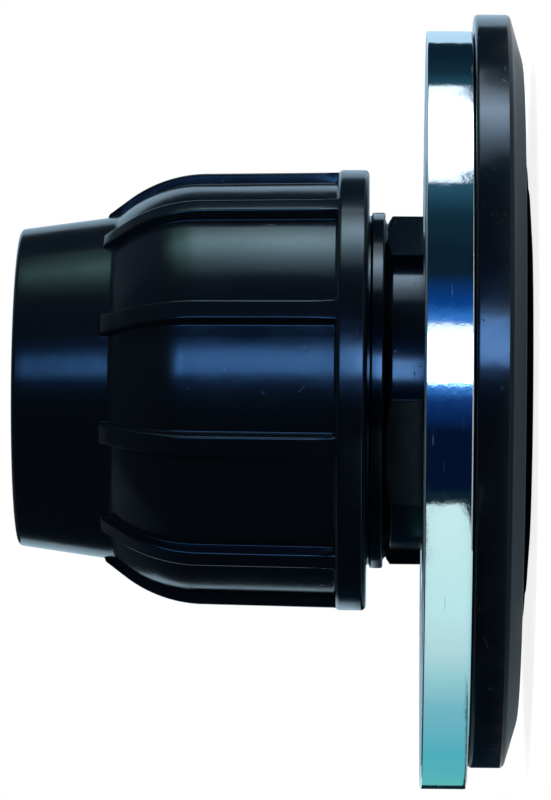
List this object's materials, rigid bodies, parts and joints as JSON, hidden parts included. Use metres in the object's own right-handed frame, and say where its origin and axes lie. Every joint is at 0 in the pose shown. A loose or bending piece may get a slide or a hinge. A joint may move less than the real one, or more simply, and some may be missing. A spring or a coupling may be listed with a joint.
{
  "type": "flange adaptor",
  "caption": "Compression pipe fitting with a ribbed screw nut, a flange disc moulded on its other end and a loose steel backing ring, for joining a plastic pipe to a bolted flange.",
  "frame": {"origin": "centre of the flange's sealing face, on the axis of the waterway", "axes": "+Z along the axis from the flange to the pipe's mouth; the backing ring hangs towards -X"},
  "size_m": [0.1697, 0.166, 0.1118],
  "materials": {
    "black_polypropylene": "moulded, satin to gloss",
    "seal_rubber": "smooth moulded",
    "white_acetal": "moulded, satin",
    "zinc_plated_steel": "bright zinc plate, lightly scratched"
  },
  "bodies": {
    "fitting": {"body": "black_polypropylene", "o_ring": "seal_rubber", "thrust_bush": "black_polypropylene"},
    "grip": {"grip_ring": "white_acetal"},
    "nut": {"nut": "black_polypropylene"},
    "ring": {"backing_ring": "zinc_plated_steel"}
  },
  "joints": [
    {"name": "nut_turn", "type": "hinge", "parent": "grip", "child": "nut", "pos_m": [0, 0, 0.08], "axis": [0, 0, 1], "range_deg": [0, 1440]},
    {"name": "grip_slide", "type": "slide", "parent": "fitting", "child": "grip", "axis": [0, 0, 1], "range_m": [0, 0.0241]},
    {"name": "ring_turn", "type": "hinge", "parent": "fitting", "child": "ring", "pos_m": [-0.0042, 0, 0.0184], "axis": [0, 0, 1], "continuous": true}
  ],
  "couplings": [
    {"joint": "grip_slide", "follows": "nut_turn", "m_per_rad": 0.00095493}
  ]
}
